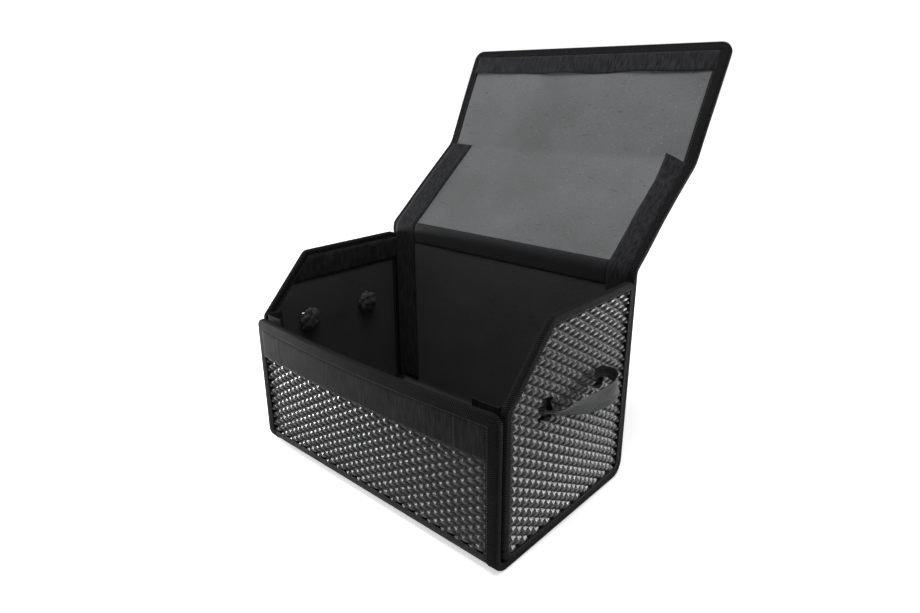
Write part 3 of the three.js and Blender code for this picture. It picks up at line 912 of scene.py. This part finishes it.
# Upright strips at both ends of the inside of the front wall: the same black felt, sewn on. The
# corner tabs hold on to them.
front_strip_inner, front_strip_outer = 0.186, 0.236
both_sides = (("right", 1), ("left", -1))
for side, sign in both_sides:
    low_x, high_x = sorted((sign * front_strip_inner, sign * front_strip_outer))
    bm = flat_strip(
        low_x, outer_low, high_x, front_end, -strip_back, -thin_strip_face, seed=2.0 + sign
    )
    wrap_sheet(bm)
    piece = finish_piece(side + "_front_loop_strip_felt", bm, felt)
    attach(piece, "body")
    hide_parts(side + "_front_loop_strip")

# Side walls: two panels of the same mat, studded outside and smooth inside, with edge tape all
# round and two holes for the handle. They stand on the base between the front and the back.
side_low, side_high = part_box("right_side_tape")
wall_middle = (side_low.x + side_high.x) / 2
side_cover = 0.012
under_side_tape = 0.003
slant_back = 0.0855
slant_drop = 0.0917
low_corner = 0.02
upper_corner = 0.012
slant_corner = 0.015
side_corners = [
    (side_low.y, side_low.z, low_corner),
    (side_high.y, side_low.z, low_corner),
    (side_high.y, side_high.z, upper_corner),
    (side_low.y + slant_back, side_high.z, slant_corner),
    (side_low.y, side_high.z - slant_drop, upper_corner),
]
hole_length = 0.026
hole_height = 0.028
hole_places = [(-0.061, 0.194), (0.066, 0.194)]
wall_bulge = 0.003
bulge_height = 0.1
bulge_reach = (0.15, 0.16)


def wrap_side(bm, sign):
    """Lays a flat mesh (depth, height, off) on the right side wall, or mirrored on the left."""
    for vert in bm.verts:
        y, z, off = vert.co
        bow = smooth(1 - abs(y) / bulge_reach[0])
        bow *= smooth(1 - abs(z - bulge_height) / bulge_reach[1])
        vert.co = (sign * (wall_middle + off + wall_bulge * bow), y, z)
    if sign < 0:
        bmesh.ops.reverse_faces(bm, faces=bm.faces)


def trim_outline(bm, corners, inset):
    for i, (a, b, _) in enumerate(corners):
        next_a, next_b, _ = corners[(i + 1) % len(corners)]
        run = Vector((next_a - a, next_b - b, 0)).normalized()
        outward = Vector((run.y, -run.x, 0))
        cut(bm, Vector((a, b, 0)) - outward * inset, outward)


def cut_holes(bm, depth):
    """Opens the handle holes and turns their edges down to the given depth."""
    for y, z in hole_places:
        for place, direction in [
            ((y - hole_length / 2, 0, 0), (1, 0, 0)),
            ((y + hole_length / 2, 0, 0), (1, 0, 0)),
            ((0, z - hole_height / 2, 0), (0, 1, 0)),
            ((0, z + hole_height / 2, 0), (0, 1, 0)),
        ]:
            near = [
                face
                for face in bm.faces
                if abs(face.calc_center_median().x - y) < hole_length
                and abs(face.calc_center_median().y - z) < hole_height
            ]
            geom = near + list({edge for face in near for edge in face.edges})
            geom += list({vert for face in near for vert in face.verts})
            bmesh.ops.bisect_plane(bm, geom=geom, dist=1e-6, plane_co=place, plane_no=direction)
        inside = [
            face
            for face in bm.faces
            if abs(face.calc_center_median().x - y) < hole_length / 2
            and abs(face.calc_center_median().y - z) < hole_height / 2
        ]
        before = {edge for edge in bm.edges if edge.is_boundary}
        bmesh.ops.delete(bm, geom=inside, context="FACES")
        rim = [edge for edge in bm.edges if edge.is_boundary and edge not in before]
        sink_rim(bm, depth, rim)


side_seam_inset = 0.0026
side_columns, side_rows = 40, 42
hole_lip = 0.001
for side, sign in both_sides:
    bm = studded_face(side_low.y, side_low.z, side_high.y, side_high.z)
    trim_outline(bm, side_corners, side_cover - under_side_tape)
    sink_rim(bm, -rim_depth)
    cut_holes(bm, -thick)
    for vert in bm.verts:
        vert.co.z += thick / 2
    wrap_side(bm, sign)
    piece = finish_piece(side + "_side_studded_face", bm, studded_foam, shade_smooth=False)
    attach(piece, "body")

    bm = bmesh.new()
    middle = Vector(((side_low.y + side_high.y) / 2, (side_low.z + side_high.z) / 2, 0))
    reach = (side_high.y - side_low.y) / 2, (side_high.z - side_low.z) / 2
    bmesh.ops.create_grid(
        bm,
        x_segments=side_columns,
        y_segments=side_rows,
        size=1,
        matrix=Matrix.Translation(middle) @ Matrix.Diagonal((*reach, 1, 1)),
    )
    trim_outline(bm, side_corners, side_cover - under_side_tape)
    for vert in bm.verts:
        dent = vert.co * dents_per_metre
        uneven = noise.noise(Vector((dent.x, dent.y, sign)))
        vert.co.z = -thick / 2 + unevenness * uneven
    bmesh.ops.reverse_faces(bm, faces=bm.faces)
    sink_rim(bm, 0.0)
    cut_holes(bm, -thick / 2 + hole_lip)
    wrap_side(bm, sign)
    piece = finish_piece(side + "_side_inner_face", bm, smooth_foam)
    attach(piece, "body")
    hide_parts(side + "_side_wall")

    bm = edge_tape(side_corners, side_cover, tape_step)
    wrap_side(bm, sign)
    piece = finish_piece(side + "_side_tape_woven", bm, edge_weave)
    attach(piece, "body")
    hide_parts(side + "_side_tape")

    bm = bmesh.new()
    line = rounded_outline(side_corners, side_cover - side_seam_inset, seam_step)
    for off in (on_tape, -on_tape):
        stitch_line(bm, line, off, closed=True)
    wrap_side(bm, sign)
    piece = finish_piece(side + "_side_tape_stitches", bm, thread)
    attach(piece, "body")

# Loop strip along the inside of each side wall's top: the same black felt, with its front end cut
# to the slant and its upper edge under the edge tape.
side_strip_foot = 0.262
side_strip_top = side_high.z - side_cover + strip_under_tape
for side, sign in both_sides:
    bm = flat_strip(
        side_low.y, side_strip_foot, side_high.y - 0.001, side_strip_top,
        -strip_back, -strip_face, wrinkle=0.0003, seed=4.0 + sign,
    )
    slant_from = Vector((side_low.y, side_high.z - slant_drop, 0))
    slant_run = Vector((slant_back, slant_drop, 0)).normalized()
    outward = Vector((-slant_run.y, slant_run.x, 0))
    cut(bm, slant_from - outward * (side_cover - strip_under_tape), outward)
    wrap_side(bm, sign)
    piece = finish_piece(side + "_side_loop_strip_felt", bm, felt)
    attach(piece, "body")
    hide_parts(side + "_side_loop_strip")

# Corner tabs: sewn to each side wall's front edge, bent round the corner and pressed on the
# strip inside the front wall. They stand a little above the front wall's top edge.
tab_low, tab_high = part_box("right_front_tab")
tab_bend = 0.006
tab_half_thick = 0.0007
tab_set_in = 0.0006
tab_root = tab_high.y - tab_low.y - tab_bend
tab_arc = tab_bend * math.pi / 2
tab_length = tab_root + tab_arc + tab_high.x - tab_low.x - tab_bend


def bent_tab(s):
    """Place and facing on the tab's line, seen from above, from the side wall to its free end."""
    if s < tab_root:
        return tab_high.x - tab_set_in, tab_high.y - s, (-1, 0)
    bend_x = tab_high.x - tab_set_in - tab_bend
    bend_y = tab_low.y + tab_bend + tab_set_in
    if s < tab_root + tab_arc:
        angle = (s - tab_root) / tab_bend
        return (
            bend_x + tab_bend * math.cos(angle),
            bend_y - tab_bend * math.sin(angle),
            (-math.cos(angle), math.sin(angle)),
        )
    return bend_x - (s - tab_root - tab_arc), tab_low.y + tab_set_in, (0, 1)


for side, sign in both_sides:
    bm = flat_strip(
        0, tab_low.z, tab_length, tab_high.z, -tab_half_thick, tab_half_thick,
        step=0.004, wrinkle=0.0003, seed=sign,
    )
    for vert in bm.verts:
        s, z, off = vert.co
        x, y, face = bent_tab(s)
        vert.co = (sign * (x + face[0] * off), y + face[1] * off, z)
    bmesh.ops.recalc_face_normals(bm, faces=bm.faces)
    piece = finish_piece(side + "_front_tab_felt", bm, felt)
    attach(piece, "body")
    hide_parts(side + "_front_tab")

# Handles: one band of soft woven webbing through both holes of a side wall. It is twisted where
# it leaves the front hole, lies in a slack bow and turns over into the rear hole. Each end is
# knotted inside.
webbing, tree, shader = new_material("webbing", 0.65, sheen=0.03, specular=0.2)
band_along = add_node(tree, "Attribute", attribute_name="along").outputs["Fac"]
band_across = add_node(tree, "Attribute", attribute_name="across").outputs["Fac"]
yarns = wave(tree, band_across, 0.0016)
picks = wave(tree, band_along, 0.0012)
crossing = calculate(tree, "MULTIPLY", yarns, picks)
band_place = add_node(tree, "TexCoord").outputs["Object"]
band_fuzz = add_node(tree, "TexNoise", {"Vector": band_place, "Scale": 900.0, "Detail": 3.0})
band_height = calculate(tree, "MULTIPLY_ADD", band_fuzz.outputs["Fac"], 1.5, crossing)
band_colour = colour_between(
    tree, band_height, -0.1, 1.6, (0.005, 0.005, 0.006), (0.045, 0.046, 0.049)
)
paint(tree, shader, band_colour, band_height, 0.0003)

# Points of the band: distance behind the middle of the wall, height, distance off the outer
# face, width of the band there, and its tilt about its own line in degrees.
band_points = [
    (-0.076, 0.188, -0.0115, 0.015, 0),
    (-0.069, 0.190, -0.0115, 0.016, 5),
    (-0.064, 0.191, -0.006, 0.018, 25),
    (-0.060, 0.191, 0.001, 0.019, 50),
    (-0.052, 0.190, 0.006, 0.020, 62),
    (-0.036, 0.187, 0.008, 0.022, 50),
    (-0.016, 0.184, 0.012, 0.024, 25),
    (0.010, 0.181, 0.018, 0.026, 6),
    (0.036, 0.182, 0.024, 0.027, -4),
    (0.056, 0.186, 0.028, 0.027, -6),
    (0.068, 0.193, 0.026, 0.026, -8),
    (0.074, 0.199, 0.018, 0.024, -14),
    (0.073, 0.202, 0.008, 0.021, -24),
    (0.069, 0.201, 0.000, 0.019, -30),
    (0.065, 0.199, -0.006, 0.017, -20),
    (0.059, 0.195, -0.0115, 0.016, -5),
    (0.052, 0.192, -0.0115, 0.015, 0),
]
band_thick = 0.0018
band_steps = 6
band_columns = 8
point_spacing = 0.012
cup_depth = 0.0012


def between(points, t):
    """Smooth curve through rows of numbers, with t from 0 to the last index."""
    i = min(int(t), len(points) - 2)
    f = t - i
    rows = [points[max(i - 1, 0)], points[i], points[i + 1], points[min(i + 2, len(points) - 1)]]
    weights = [
        -0.5 * f + f * f - 0.5 * f**3,
        1 - 2.5 * f * f + 1.5 * f**3,
        0.5 * f + 2 * f * f - 1.5 * f**3,
        -0.5 * f * f + 0.5 * f**3,
    ]
    return [sum(w * row[k] for w, row in zip(weights, rows)) for k in range(len(points[0]))]


knot_off_wall = 0.0045
knot_loop = 0.0047
knot_weave = 0.002
strand_wide, strand_thin = 0.0056, 0.0034
strand_crumple = 0.35
core_size = Vector((0.0064, 0.0195, 0.0200))
core_crumple, core_crease = 0.3, 0.12
knots = [(-0.062, 0.195, 0.4), (0.063, 0.195, -0.5)]


def knot(bm, y, z, turn):
    """Crumpled overhand knot of the band's end, lying on the inside of the wall."""
    grid = bmesh.ops.create_grid(bm, x_segments=48, y_segments=8, size=0.5)["verts"]
    centre = Vector((side_low.x - knot_off_wall, y, z))
    for vert in grid:
        t = (vert.co.x + 0.5) * 2 * math.pi
        around = (vert.co.y + 0.5) * 2 * math.pi
        line = []
        for angle in (t, t + 0.01):
            a = math.sin(angle) + 2 * math.sin(2 * angle)
            b = math.cos(angle) - 2 * math.cos(2 * angle)
            line.append(Vector((-knot_weave * math.sin(3 * angle), knot_loop * a, knot_loop * b)))
        tangent = (line[1] - line[0]).normalized()
        out = tangent.cross(Vector((1, 0, 0))).normalized()
        rise = tangent.cross(out)
        crumpled = noise.noise(Vector((math.cos(t) * 2, math.sin(t) * 2, around)))
        round_strand = out * math.cos(around) * strand_wide + rise * math.sin(around) * strand_thin
        place = line[0] + round_strand * (1 + strand_crumple * crumpled)
        place.rotate(Euler((turn, 0, 0)))
        vert.co = centre + place
    bmesh.ops.remove_doubles(bm, verts=grid, dist=1e-5)
    core = bmesh.ops.create_icosphere(bm, subdivisions=4, radius=1)["verts"]
    for vert in core:
        swell = 1 + core_crumple * noise.noise(vert.co * 2.3 + Vector((0, 0, turn)))
        swell -= core_crease * abs(math.sin(vert.co.y * 7 + vert.co.z * 3))
        vert.co = centre + Vector([a * b * swell for a, b in zip(vert.co, core_size)])


for side, sign in both_sides:
    bm = bmesh.new()
    last = len(band_points) - 1
    bmesh.ops.create_grid(bm, x_segments=last * band_steps, y_segments=band_columns, size=0.5)
    along = bm.verts.layers.float.new("along")
    across = bm.verts.layers.float.new("across")
    for vert in bm.verts:
        part = (vert.co.x + 0.5) * last
        y, z, off, width, tilt = between(band_points, part)
        y_0, z_0, off_0 = between(band_points, max(part - 0.05, 0))[:3]
        y_1, z_1, off_1 = between(band_points, min(part + 0.05, last))[:3]
        tangent = Vector((off_1 - off_0, y_1 - y_0, z_1 - z_0)).normalized()
        wide = (up - tangent * tangent.dot(up)).normalized()
        wide.rotate(Matrix.Rotation(math.radians(tilt), 3, tangent))
        flat_out = tangent.cross(wide)
        v = vert.co.y
        vert[along] = part * point_spacing
        vert[across] = v * width
        cup = cup_depth * math.cos(v * 3 * math.pi) * math.sin(part * 0.9)
        vert.co = Vector((side_high.x + off, y, z)) + wide * v * width + flat_out * cup
    bmesh.ops.solidify(bm, geom=bm.faces[:], thickness=band_thick)
    for y, z, turn in knots:
        knot(bm, y, z, turn)
    if sign < 0:
        bmesh.ops.scale(bm, vec=(-1, 1, 1), verts=bm.verts)
    bmesh.ops.recalc_face_normals(bm, faces=bm.faces)
    piece = finish_piece(side + "_handle_webbing", bm, webbing)
    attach(piece, "body")
    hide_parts(side + "_handle")
